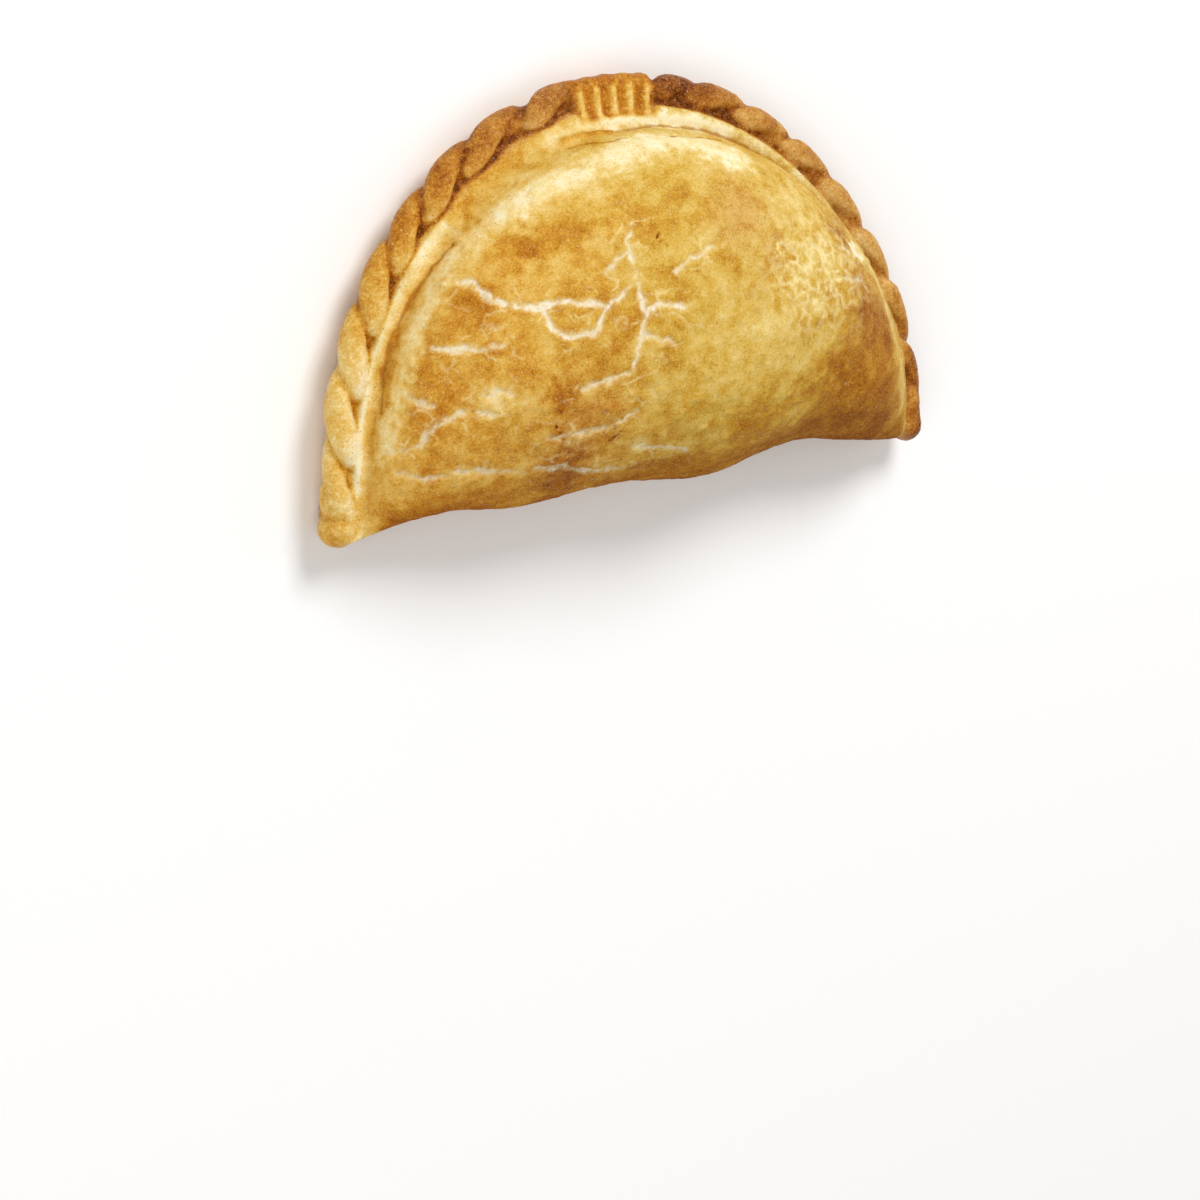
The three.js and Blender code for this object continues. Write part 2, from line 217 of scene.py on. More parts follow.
def seam_column(along):
    """The section at a distance along the curved edge."""
    on_edge = by_the_edge(along, 0)
    groove = on_edge * [BELLY_HALF_LENGTH / HALF_LENGTH, BELLY_REACH / ROPE_REACH] + [BELLY_X, 0]
    groove_in = np.linalg.norm(groove - on_edge)
    inner_in, inner_z = core_section(along, 1.0)
    bead_in = between(groove_in, inner_in, BEAD_SHARES)
    bead_z = between(side_height(groove[0]), inner_z, BEAD_SHARES)
    bead_z = bead_z + bead_height(along) * np.sin(math.pi * BEAD_SHARES ** 2)
    core_in, core_z = core_section(along, 1 - CORE_SHARES)
    outer_in, outer_z = core_section(along, 0.0)
    turned = TUCK_SHARES * math.pi / 2
    tuck_in = between(outer_in, BASE_TUCK, 1 - np.cos(turned))
    tuck_z = outer_z * (1 - np.sin(turned))
    ring_in = np.concatenate([bead_in, core_in, tuck_in])
    ring_z = np.concatenate([bead_z, core_z, tuck_z])
    rings = with_height(by_the_edge(np.full(len(ring_in), along), ring_in), ring_z)
    foot = by_the_edge(along, BASE_TUCK)
    base = with_height(CROWN + (foot - CROWN) * BASE_SHARES[:, None], 0)
    return np.concatenate([over_belly(groove, BELLY_SHARES), rings, base])


def fold_column(x):
    """The section at a place along the fold."""
    edge = np.array([x, fold_line(x)])
    half = len(CORE_SHARES) // 2
    shares = np.concatenate([FOLD_SHOULDER * BELLY_SHARES, between(FOLD_SHOULDER, FOLD_SIDE, BEAD_SHARES),
                             between(FOLD_SIDE, 1, 2 * CORE_SHARES[:half])])
    turned = np.concatenate([FOLD_TURN * (2 * CORE_SHARES[half:] - 1),
                             between(FOLD_TURN, 1, TUCK_SHARES)])
    turned = turned * math.pi / 2
    side = edge + np.outer(FOLD_TUCK * (1 - np.cos(turned)), [0, 1])
    side = with_height(side, side_height(x) * (1 - np.sin(turned)))
    foot = edge + [0, FOLD_TUCK]
    base = with_height(CROWN + (foot - CROWN) * BASE_SHARES[:, None], 0)
    return np.concatenate([over_belly(edge, shares), side, base])


print(f"one section has {len(seam_column(0.0))} points")

# %% [markdown]
# ## One closed net
# A plain grid has rows and columns, and so have the sections. Moving the grid's points onto
# them wraps it round the whole body: its first and last columns meet at the right tip, and its
# first and last rows shrink to the crown and to the middle of the base. Merging the doubles
# there closes the net. At the two tips a section of the seam and one of the fold melt into
# each other.

# %% The body of dough
TIP_BLEND = 8.0
FOLD_COLUMNS, ROPE_COLUMNS, PANEL_COLUMNS = 133, 150, 92
PANEL_MARGIN = 2


def all_columns():
    columns = []
    for x in HALF_LENGTH * np.sin(np.linspace(-math.pi / 2, math.pi / 2, FOLD_COLUMNS)[1:-1]):
        from_tip = HALF_LENGTH - abs(x) + abs(min(fold_line(x), 0))
        seam_share = 0.5 * (1 - smooth(from_tip, 0, TIP_BLEND))
        columns.append(between(fold_column(x), seam_column(math.copysign(EDGE_HALF, x)), seam_share))
    left_end = PANEL_MIDDLE - PANEL_HALF - PANEL_MARGIN
    right_end = PANEL_MIDDLE + PANEL_HALF + PANEL_MARGIN
    places = [*np.linspace(EDGE_HALF, right_end, ROPE_COLUMNS),
              *np.linspace(right_end, left_end, PANEL_COLUMNS)[1:-1],
              *np.linspace(left_end, -EDGE_HALF, ROPE_COLUMNS)]
    for along in places:
        seam_share = 0.5 + 0.5 * smooth(EDGE_HALF - abs(along), 0, TIP_BLEND)
        tip_column = fold_column(math.copysign(HALF_LENGTH, along))
        columns.append(between(tip_column, seam_column(along), seam_share))
    return np.array(columns)


def hand_over(part, pieces):
    """Moves a finished part into the heap of pieces and says how many points it has."""
    made = bpy.data.meshes.new("part_of_dough")
    part.to_mesh(made)
    part.free()
    pieces.from_mesh(made)
    size = len(made.vertices)
    bpy.data.meshes.remove(made)
    return size


def add_body(pieces):
    columns = all_columns()
    count, rings = columns.shape[:2]
    poles = {0: (*CROWN, belly_height(*CROWN)), rings + 1: (*CROWN, 0)}
    net = bmesh.new()
    bmesh.ops.create_grid(net, x_segments=count, y_segments=rings + 1, size=1)
    for vert in net.verts:
        column = round((vert.co.x + 1) / 2 * count) % count
        ring = round((vert.co.y + 1) / 2 * (rings + 1))
        vert.co = Vector(poles[ring] if ring in poles else columns[column, ring - 1])
    bmesh.ops.remove_doubles(net, verts=net.verts, dist=1e-4)
    bmesh.ops.recalc_face_normals(net, faces=net.faces)
    return hand_over(net, pieces)


dough = bmesh.new()
print(f"body of dough: {add_body(dough)} points")

# %% [markdown]
# ## The rope
# To seal the seam the cook folds the edge over itself again and again, and each fold leaves a
# plump lobe that leans along the edge and ends in a rounded tip on the inside. Each lobe here
# is a sphere pulled over the seam's core: its long axis climbs from the outer foot over the
# top to the inner crease while it slides along the edge. Sizes differ a little from lobe to
# lobe, drawn with a fixed seed.

# %% Lobes of the rope
PITCH = 12.1
FIRST_LEFT, FIRST_RIGHT, TURNS = -27.25, 22.55, 7  # the middles of the first lobes with a full lean
BESIDE_PANEL = [-14.8, 12.4]
BESIDE_PANEL_REACH, BESIDE_PANEL_LEAN, BESIDE_PANEL_SIZE = 18, 0.75, 0.92
ROPE_SHIFT = 1.2
LEAN, LEAN_LEFT = 15.4, 18.4
LOBE_RADIUS = 3.0  # of the cylinder that a lobe is wrapped over
LOBE_OUTER, LOBE_INNER, LOBE_INNER_RIGHT = math.radians(250), math.radians(30), math.radians(56)
LOBE_HALF_WIDTH, LOBE_HALF_HEIGHT, LOBE_LIFT = 3.6, 2.7, 1.15
LOBE_FULLNESS = 2 / 2.7
LOBE_TAPER = 0.2
LOBE_TIP_LIFT = 0.3
LOBE_UNEVEN_PLACE, LOBE_UNEVEN_SIZE = 0.25, 0.035
LOBE_SHRINK, LOBE_SHRINK_RUN = 0.2, (86, 100)  # towards the tips
BALL_COLUMNS, BALL_RINGS = 40, 36
uneven = np.random.default_rng(11)


def add_ball(pieces, moved):
    """Adds a UV sphere whose points are all moved by the given function."""
    ball = bmesh.new()
    bmesh.ops.create_uvsphere(ball, u_segments=BALL_COLUMNS, v_segments=BALL_RINGS, radius=1)
    for vert in ball.verts:
        vert.co = Vector(moved(vert.co))
    hand_over(ball, pieces)


def on_rope(point, middle, size, lean, inner):
    """Where a point of the unit sphere lies on a lobe, with its z along the lobe."""
    arc = LOBE_RADIUS * (LOBE_OUTER - inner)
    slope = math.hypot(lean, arc)
    ahead = max(-1, min(1, point.z))
    round_off = size * math.sqrt(1 - abs(ahead) ** 4)
    ring = math.hypot(point.x, point.y) or 1
    full = lambda value: math.copysign(abs(value / ring) ** LOBE_FULLNESS, value)
    aside = LOBE_HALF_WIDTH * (1 - LOBE_TAPER * ahead) * round_off * full(point.x)
    out = LOBE_HALF_HEIGHT * round_off * full(point.y)
    along = middle - lean * ahead / 2 + aside * arc / slope
    over = ahead * arc / 2 + aside * lean / slope
    angle = (LOBE_OUTER + inner) / 2 - over / LOBE_RADIUS
    radius = LOBE_LIFT + LOBE_TIP_LIFT * ahead + out
    return (*by_the_edge(along, CORE_IN + radius * math.cos(angle)), CORE_Z + radius * math.sin(angle))


lobe_places = [*BESIDE_PANEL]
lobe_places += [FIRST_LEFT - PITCH * turn_count for turn_count in range(TURNS)]
lobe_places += [FIRST_RIGHT + PITCH * turn_count for turn_count in range(TURNS)]
for middle in lobe_places:
    middle += ROPE_SHIFT + uneven.normal(0, LOBE_UNEVEN_PLACE)
    size = 1 - LOBE_SHRINK * smooth(abs(middle), *LOBE_SHRINK_RUN)
    size *= 1 + uneven.normal(0, LOBE_UNEVEN_SIZE)
    on_the_right = middle > 0
    lean = LEAN if on_the_right else LEAN_LEFT
    if abs(middle) < BESIDE_PANEL_REACH:
        lean *= BESIDE_PANEL_LEAN
        size *= BESIDE_PANEL_SIZE
    elif not on_the_right:
        middle += (LEAN - lean) / 2
    inner = LOBE_INNER_RIGHT if on_the_right else LOBE_INNER
    add_ball(dough, lambda point: on_rope(point, middle, size, lean, inner))
# Place and half sizes of each knob
TIP_KNOBS = [((-61.6, -0.6, 5.8), (3.4, 3.4, 4.2)), ((-61.9, 4.6, 6.6), (2.5, 5.0, 3.8)),
             ((61.4, 1.2, 6.2), (3.4, 3.6, 4.4)), ((61.6, 5.6, 6.4), (2.7, 5.0, 3.8))]
for centre, sizes in TIP_KNOBS:
    add_ball(dough, lambda point: Vector(centre) + Vector(sizes) * point)
print(f"rope: {len(lobe_places)} lobes and {len(TIP_KNOBS)} knobs at the tips")

# %% [markdown]
# ## Melting the pieces together
# The lobes and the body still run through each other. A Remesh modifier in voxel mode wraps
# one even skin round all of them, much as dough fuses while it bakes, and its small squares
# leave room for relief. Two gentle smoothing passes take off the stair steps of the voxels.

# %% One skin
VOXEL = 0.48
SMOOTHING_PASSES = 2
BASE_CATCH = 0.25  # points that are lower than this are laid into the base


def melted(pieces):
    rough = bpy.data.meshes.new("dough_pieces")
    pieces.to_mesh(rough)
    pieces.free()
    rough.transform(Matrix.Scale(MM, 4) @ Matrix.Translation(Vector(FOLD_MIDDLE)))
    holder = bpy.data.objects.new("dough_pieces", rough)
    bpy.context.scene.collection.objects.link(holder)
    remesh = holder.modifiers.new("melt", "REMESH")
    remesh.mode = "VOXEL"
    remesh.voxel_size = VOXEL * MM
    evaluated = holder.evaluated_get(bpy.context.evaluated_depsgraph_get())
    skin = bpy.data.meshes.new_from_object(evaluated)
    bpy.data.objects.remove(holder)
    bpy.data.meshes.remove(rough)
    return skin


crust_mesh = melted(dough)
skin = bmesh.new()
skin.from_mesh(crust_mesh)
for smoothing_pass in range(SMOOTHING_PASSES):
    bmesh.ops.smooth_vert(skin, verts=skin.verts, factor=0.5,
                          use_axis_x=True, use_axis_y=True, use_axis_z=True)
for vert in skin.verts:
    if vert.co.z < BASE_CATCH * MM:
        vert.co.z = 0
flat_faces = [face for face in skin.faces if all(vert.co.z == 0 for vert in face.verts)]
bmesh.ops.delete(skin, geom=flat_faces, context="FACES")
rim_of_base = [edge for edge in skin.edges if edge.is_boundary]
base_face = bmesh.ops.edgeloop_fill(skin, edges=rim_of_base)["faces"]
bmesh.ops.triangulate(skin, faces=base_face)
print(f"base: {len(flat_faces)} squares became {len(base_face)} face with {len(rim_of_base)} corners")
skin.to_mesh(crust_mesh)
skin.free()
crust_mesh.update()
triangles = sum(len(face.vertices) - 2 for face in crust_mesh.polygons)
print(f"melted skin: {len(crust_mesh.vertices)} points, {triangles} triangles")

# %% [markdown]
# ## Where each point lies
# Browning, painted light and relief depend on the place: how far along the rope, how far in
# from the edge, how high, on a bump or in a crease. These are measured once for every point. The
# creases come from comparing the skin with a smoothed copy of itself: where the copy lies
# further out, the point is in a hollow.

# %% Measures at every point
count = len(crust_mesh.vertices)
coordinates = np.empty(count * 3)
crust_mesh.vertices.foreach_get("co", coordinates)
points = coordinates.reshape(-1, 3) / MM - FOLD_MIDDLE
links = np.empty(len(crust_mesh.edges) * 2, dtype=int)
crust_mesh.edges.foreach_get("vertices", links)
links = links.reshape(-1, 2)
neighbours = np.bincount(links.ravel(), minlength=count)


def spread(values, rounds):
    """Values averaged with their neighbours, again and again."""
    for spread_round in range(rounds):
        total = np.empty_like(values)
        for i in range(values.shape[1]):
            total[:, i] = (np.bincount(links[:, 0], values[links[:, 1], i], count)
                           + np.bincount(links[:, 1], values[links[:, 0], i], count))
        values = 0.5 * values + 0.5 * total / neighbours[:, None]
    return values


def normals():
    found = np.empty(count * 3)
    crust_mesh.vertex_normals.foreach_get("vector", found)
    return found.reshape(-1, 3)


def hollow(rounds):
    """How far each point lies under a copy of the skin that is smoothed this many times."""
    return np.einsum("ij,ij->i", spread(points, rounds) - points, normals())


STRIDE = 8  # every eighth point of the ruler is close enough here
BATCH = 5000  # points that are compared with the ruler at once
TIP_X, TIP_Y, TIP_RADIUS = 62, 0.5, 4.6
ROPE_END, PANEL_END, BELLY_START = (3.8, 4.4), (6.3, 7.6), (6.5, 9.5)
nearest = np.empty(count, dtype=int)
coarse = edge_xy[::STRIDE]
for start in range(0, count, BATCH):
    gap = points[start:start + BATCH, None, :2] - coarse[None]
    nearest[start:start + BATCH] = np.argmin((gap ** 2).sum(axis=2), axis=1)
along = edge_along[::STRIDE][nearest]
inwards = np.einsum("ij,ij->i", points[:, :2] - coarse[nearest], edge_inwards[::STRIDE][nearest])
x, y, z = points.T
facing_up = smooth(normals()[:, 2], -0.35, 0.1)
from_fold = y - fold_line(x)
from_core = np.hypot(inwards - CORE_IN, z - CORE_Z)
on_tips = np.exp(-(((np.abs(x) - TIP_X) / TIP_RADIUS) ** 2 + ((y - TIP_Y) / TIP_RADIUS) ** 2))
by_core = 1 - smooth(from_core, *ROPE_END)
on_seam = np.maximum(by_core, on_panel(along) * (1 - smooth(inwards, *PANEL_END)))
on_seam = np.maximum(on_seam, smooth(on_tips, 0.3, 0.7))
on_belly = smooth(inwards, *BELLY_START)
print(f"seam: {np.mean(on_seam > 0.5):.0%} of the points")

# %% [markdown]
# Left of the panel the groove was pressed out, and the right tip was rounded by hand. Both are
# done by the same averaging, let through only there. The creases are measured after that.

# %% Where the dough has no groove
PRESSED_ALONG, PRESSED_IN = (-42, -16, 14), (6.0, 14.0, 2.0)  # from, to, and the length of its fading
PRESSED_ROUNDS, TIP_ROUNDS = 160, 60
FINE_ROUNDS, FINE_DEPTH = 14, 0.3
BROAD_ROUNDS, BROAD_DEPTH = 60, 0.5
pressed_smooth = plateau(along, *PRESSED_ALONG) * plateau(inwards, *PRESSED_IN)
points += pressed_smooth[:, None] * (spread(points, PRESSED_ROUNDS) - points)
rounded_tip = smooth(x, 54, 60) * (1 - smooth(y, 2, 9)) * smooth(z, 0, 2)
points += rounded_tip[:, None] * (spread(points, TIP_ROUNDS) - points)
x, y, z = points.T
crease = np.clip(hollow(FINE_ROUNDS) / FINE_DEPTH, -1, 1)
broad_crease = np.clip(hollow(BROAD_ROUNDS) / BROAD_DEPTH, -1, 1)
print(f"deepest hollow: {hollow(FINE_ROUNDS).max():.2f} mm")

# %% [markdown]
# ## Relief: lumps, wrinkles and cracks
# A baked crust is never smooth: it has shallow lumps, small blisters, fine wrinkles along the
# fold, and cracks where the glaze tore while the belly swelled. Bump mapping alone would look
# painted from the side, so these move the points of the skin. Lumps and wrinkles come from
# fractal noise. A crack is a line laid over the crust, and noise makes its course ragged.

# %% Noise at every point


def mottle(size, octaves, shift, stretch=(1, 1, 1)):
    """Fractal noise at every point, with features of about this size in millimetres."""
    move = Vector((shift, 2 * shift, -shift))
    scaled = points / (size * np.array(stretch))
    return np.array([noise.fractal(Vector(place) + move, 1.0, 2.0, octaves) for place in scaled])


ragged = np.stack([mottle(1.7, 3, shift) for shift in (5.0, 9.0, 13.0)], axis=1)
print(f"noise: {ragged.std():.2f} is its usual size")

# %% Lines over the crust
upper = np.flatnonzero(normals()[:, 2] > 0.05)


def laid_on_crust(path):
    """The path's places with the height of the crust under each of them."""
    gaps = [((points[upper, :2] - place) ** 2).sum(axis=1) for place in np.array(path)]
    return np.column_stack([path, [points[upper[np.argmin(gap)], 2] for gap in gaps]])


def away_from(path, wobble, taper=0.0):
    """Distance of every point from a ragged line over the crust, with a taper added at its ends."""
    path = laid_on_crust(path)
    wobbly = points + wobble * ragged
    away = np.full(count, np.inf)
    for piece, (start, end) in enumerate(zip(path[:-1], path[1:])):
        step = end - start
        share = np.clip((wobbly - start) @ step / (step @ step), 0, 1)
        gap = np.linalg.norm(wobbly - start - share[:, None] * step, axis=1)
        from_middle = 2 * (piece + share) / (len(path) - 1) - 1
        away = np.minimum(away, gap + taper * from_middle ** 4)
    return away


def away_from_all(paths, wobble, taper=0.0):
    return np.min([away_from(path, wobble, taper) for path in paths], axis=0)


# %% Cracks
WIDE_CRACKS = [
    [(-10.6, 49.8), (-12.1, 46.5), (-12.2, 38.3), (-11.9, 33), (-13.6, 28), (-14.4, 23.7)],
    [(-42.2, 41.7), (-38.8, 42), (-37.2, 38.6), (-31, 37), (-26, 37.6), (-18.3, 36.1), (-13.5, 39)],
    [(-29.8, 36.6), (-29.3, 33.1), (-26.6, 31.3), (-21.5, 31.6), (-18.7, 35.6)],
    [(-11.3, 34.2), (-8.3, 35.2), (-3.3, 34.2)],
    [(-47.2, 31.1), (-43.6, 30.6), (-40.5, 30.7), (-36.9, 31.2)],
    [(-37.6, 51.5), (-36.6, 49.2)],
    [(39.2, 39.8), (40.7, 38.3), (42.4, 36.6)],
    [(40.7, 38.3), (39.3, 37.0)],
]
FINE_CRACKS = [
    [(-12.4, 45.1), (-14.9, 43.9), (-17.5, 41.5)],
    [(-12.3, 30.2), (-9, 28.8), (-6.4, 28.1)],
    [(-14.4, 23.7), (-18.4, 23), (-25, 21.9)],
    [(-41.6, 22.4), (-38.9, 22.8), (-36.6, 22.4)],
    [(-55.5, 12.9), (-51.3, 14.1), (-48.7, 17.7), (-45, 19.8), (-39.7, 18.9)],
    [(-51.5, 23.1), (-49, 21.2)],
    [(-54.4, 9.9), (-50.6, 8.2), (-45.9, 8.9), (-41.5, 8.8), (-33.5, 7.4)],
    [(-31, 7.9), (-26.1, 7.7), (-20.1, 5.9), (-12.5, 5.5)],
    [(-30.6, 13.6), (-24.3, 14), (-17.6, 14.2), (-13.7, 16.5)],
    [(-12.8, 9.4), (-7.2, 8.6), (-0.4, 6.8)],
    [(4.2, 44), (-0.8, 42.3), (-4.8, 40.5)],
    [(25.4, 40.7), (27.2, 41.3), (28.9, 40.4)],
    [(34.6, 40), (38.5, 38.5)],
    [(33.5, 34.7), (36, 33.8), (40.5, 32.8)],
]
VEINS = [
    [(18.3, 42.4), (19.3, 38.4), (22, 35.2), (25.1, 31.5), (29.5, 26.6)],
    [(18.3, 42.4), (22.5, 41.5), (25.4, 40.7), (28.9, 40.4), (31, 36.5), (33.5, 34.7)],
    [(22, 35.2), (26.4, 33.3), (31.2, 32.6), (34.3, 28.5)],
]
CRACK_FADE = 1.5
WIDE_HALF, WIDE_VARIES, WIDE_WOBBLE, WIDE_TAPER = 0.42, 0.38, 0.6, 0.35
FINE_HALF, FINE_VARIES, FINE_WOBBLE, FINE_TAPER = 0.34, 0.24, 0.8, 0.15
wide_gap = away_from_all(WIDE_CRACKS, WIDE_WOBBLE, WIDE_TAPER)
fine_gap = away_from_all(FINE_CRACKS, FINE_WOBBLE, FINE_TAPER)
varied = mottle(3.2, 3, 21.0)
wide_torn = 1 - (wide_gap - WIDE_HALF - WIDE_VARIES * varied) / CRACK_FADE
fine_torn = np.minimum(1 - (fine_gap - FINE_HALF - FINE_VARIES * varied) / CRACK_FADE, 1.0)
torn = np.clip(np.maximum(wide_torn, fine_torn), 0, 1.3)
print(f"cracks: {len(WIDE_CRACKS)} wide, {len(FINE_CRACKS)} fine")

# %% Seam lines and a lip of dough
RIGHT_ALONG = np.array([-3, 8, 20, 30, 40, 50, 60, 70, 80])
RIGHT_IN = np.array([9.2, 8.7, 7.9, 7.4, 7.0, 6.7, 6.4, 6.1, 5.9])
SEAM_LINES = [
    by_the_edge(RIGHT_ALONG, RIGHT_IN),
    by_the_edge(RIGHT_ALONG[1:5], RIGHT_IN[1:5] + [1.7, 1.6, 1.2, 0.6]),
    [(-37.8, 48.1), (-41.6, 44.3), (-46.1, 38.8), (-49.8, 33.1), (-52.6, 26.5), (-54.3, 19.8)],
    [(-12.6, 62.7), (-8.1, 63.2), (-2.9, 63.3)],
]
LIP = [(-12.6, 63.8), (-8.1, 64.3), (-2.9, 64.3)]
FLANGE_OUT = 1.7
FLANGE = by_the_edge(RIGHT_ALONG, RIGHT_IN - FLANGE_OUT)
SEAM_WOBBLE, LIP_WOBBLE, SEAM_WIDTH = 0.12, 0.35, 0.6
seam_gap = away_from_all(SEAM_LINES, SEAM_WOBBLE)
lip_gap = away_from(LIP, LIP_WOBBLE)
flange_gap = away_from(FLANGE, LIP_WOBBLE)
seam_line = np.exp(-(seam_gap / SEAM_WIDTH) ** 2) * smooth(varied, -0.6, 0.0)
print(f"seam: {len(SEAM_LINES)} lines and a lip")

# %% Move the points
LUMP, SMALL_LUMP, BLISTER, WRINKLE, GRAIN = 0.35, 0.18, 0.25, 0.1, 0.06
CRACK_RIM, CRACK_RIM_WIDTH, CRACK_DEPTH = 0.14, 1.6, 0.3
LIP_RISE, LIP_WIDTH, FLANGE_RISE, FLANGE_WIDTH = 0.8, 0.8, 0.2, 0.9
SEAM_DEPTH = 0.35
lumps = LUMP * mottle(13, 2, 3.0) + SMALL_LUMP * mottle(4.5, 3, 7.0)
blisters = BLISTER * smooth(mottle(2.6, 2, 17.0), 0.32, 0.75) * between(0.3, 1, smooth(from_fold, 1, 8))
wrinkles = WRINKLE * mottle(1.6, 3, 51.0, (3.5, 1, 1)) * (1 - smooth(from_fold, 3, 12))
grain = GRAIN * mottle(0.9, 3, 31.0)
rough_seam = 0.5 * blisters + 0.1 * lumps
relief = on_belly * (lumps + blisters + wrinkles) + (1 - on_belly) * rough_seam + grain
relief += CRACK_RIM * np.exp(-(wide_gap / CRACK_RIM_WIDTH) ** 2) - CRACK_DEPTH * smooth(torn, 0.7, 1)
lip = LIP_RISE * np.exp(-(lip_gap / LIP_WIDTH) ** 2)
flange = FLANGE_RISE * np.exp(-(flange_gap / FLANGE_WIDTH) ** 2)
relief += lip + flange - SEAM_DEPTH * seam_line
relief *= facing_up * smooth(z, 1, 5)
moved = points + relief[:, None] * normals()
crust_mesh.vertices.foreach_set("co", ((moved + FOLD_MIDDLE) * MM).ravel())
crust_mesh.update()
print(f"relief: from {relief.min():.2f} to {relief.max():.2f} mm")

# %% [markdown]
# ## Browning, with painted shade and highlights
# How brown the crust is at each point is one number from 0, pale dough, to 1, almost burnt,
# and the same number carries painted light as well. The rope stands proud and is browned most,
# above all beside the pressed panel. Its creases and the inner sides of its first lobes on the
# right are made darker, partly by browning and partly as painted shade, and the tops of its
# lobes paler, partly as a painted highlight. The band under the rope stays cream because the
# rope shades it. The bead's crest on the left and the ridge by the rope on the right are paler,
# partly as painted highlights, and a painted sheen runs down the right edge of the belly. The
# belly is golden with darker and paler patches, more orange on the left and more yellow on the
# right, which is a second number, and a third says where it is tan, in places partly a painted
# sheen. They are kept with the mesh as attributes for the material to read, as are the
# distances from cracks and seam lines.

# %% Patches and bands on the belly
# Place, radius and amount of each patch
BROWN_PATCHES = [(-32, 48, 5, 0.14), (-26, 50, 5, 0.1), (-39.8, 38.8, 4.5, 0.12), (-47, 26.7, 7, 0.08),
                 (-39, 27.6, 6, 0.06), (-33.9, 25.6, 5, 0.06), (-52.5, 18.7, 5, 0.06),
                 (-28.2, 21.2, 3, 0.22), (-26.1, 7.7, 4, 0.28), (-8.8, 13, 5, 0.06),
                 (-18.9, 29.2, 5, 0.06), (42.6, 24.7, 8, 0.16), (38, 14.1, 8, 0.13), (48.7, 6.4, 9, 0.13),
                 (31.4, 8, 8, 0.13), (13, 9, 7, 0.13), (37.3, 41.7, 2.5, 0.2)]
PALE_PATCHES = [(-30.3, 43.2, 5, 0.06), (-25.6, 44.9, 4, 0.06), (-39, 21.9, 2.5, 0.24),
                (25.4, 47.4, 4, 0.12), (11.6, 24.6, 9, 0.06), (2.7, 30.4, 7, 0.05), (-9.1, 21.1, 5, 0.12),
                (-4.9, 46.5, 4, 0.05), (27.6, 39.5, 6, 0.12), (17, 19, 7, 0.07), (-41.8, 30.8, 4, 0.08),
                (10.5, 32.5, 8, 0.04), (2.2, 21.1, 6, 0.07), (-12, 10.5, 4, 0.08),
                (-27.5, 51.5, 3.5, 0.2), (40.7, 38.1, 1.2, 0.4), (20, 49.2, 2.5, 0.18),
                (28.3, 51.3, 3, 0.18), (12, 49, 6, 0.1)]
CREAM_BAND = [(-34.9, 49.2), (-31, 51.9), (-24.9, 55.5), (-13.6, 58.9), (-7.2, 61.2), (0.1, 62.7),
              (6.1, 62.1), (16.2, 58.4)]
PALE_FLANGE = [(-14.6, 64.6), (-6.7, 65.4), (-0.5, 65.8), (6.5, 65.3), (13.9, 64.1), (21.4, 61.6)]
PALE_TOP = [(-6, 60.2), (2, 60.8), (10, 59.6), (17, 57)]
PALE_FLANK = [(-39, 46.2), (-44, 40), (-47.4, 34.6), (-50.6, 28), (-53.9, 18.6), (-55.4, 13.3)]
# The bead's crest on the left is paler and yellower, partly real dough colour and partly a painted
# highlight.
PALE_CREST = [(-37.8, 51.1), (-41.4, 47.9), (-45.2, 43.3), (-48.7, 39.3), (-52.6, 31.9), (-55, 25.3),
              (-57, 18.4), (-58.5, 12.5), (-59.5, 7.1)]
# Along the ridge next to the rope on the right: pale dough and a painted highlight.
PALE_RIDGE_AND_HIGHLIGHT = by_the_edge(RIGHT_ALONG[:7], RIGHT_IN[:7] - 1.4)
# A painted sheen along the right edge of the belly.
PAINTED_SHEEN_EDGE = [(41.1, 38.5), (44.6, 36), (47, 30.5), (48.7, 24), (50, 18.9), (51.6, 13), (53, 7.1)]
# Path, half width, amount and wobble of each pale band; the crest and ridge bands are partly painted
# highlights, the edge band a painted sheen
PALE_BANDS = [(CREAM_BAND, 4.4, 0.35, 2.0), (PALE_FLANGE, 2.4, 0.31, 1.0), (PALE_TOP, 3.2, 0.1, 1.4),
              (PALE_FLANK, 2.4, 0.34, 2.0), (PALE_CREST, 1.8, 0.3, 0.6), (PALE_RIDGE_AND_HIGHLIGHT, 1.4, 0.3, 1.6),
              (PAINTED_SHEEN_EDGE, 1.8, 0.28, 0.8)]
DARK_SPECKS = [(-28.9, 15.1), (-17.5, 12.6), (-6, 47)]
SPECK_RADIUS, SPECK_AMOUNT = 0.45, 0.6
PATCH_WOBBLE, BROWN_STRENGTH, PALE_STRENGTH = 2.2, 1.25, 1.1
CRACKLE_X, CRACKLE_Y, CRACKLE_HALF_LENGTH, CRACKLE_HALF_WIDTH = 27, 36, 12, 9
BELLY_BROWNING, BROWNEST, LIMIT_SOFTNESS = 0.47, 0.78, 0.1


def patch(px, py, radius, amount):
    """A round patch with a ragged edge."""
    ragged_place = points[:, :2] + PATCH_WOBBLE * ragged[:, :2]
    return amount * np.exp(-((ragged_place - [px, py]) ** 2).sum(axis=1) / radius ** 2)


def band(path, half_width, amount, wobble):
    return amount * np.exp(-(away_from(path, wobble) / half_width) ** 2)


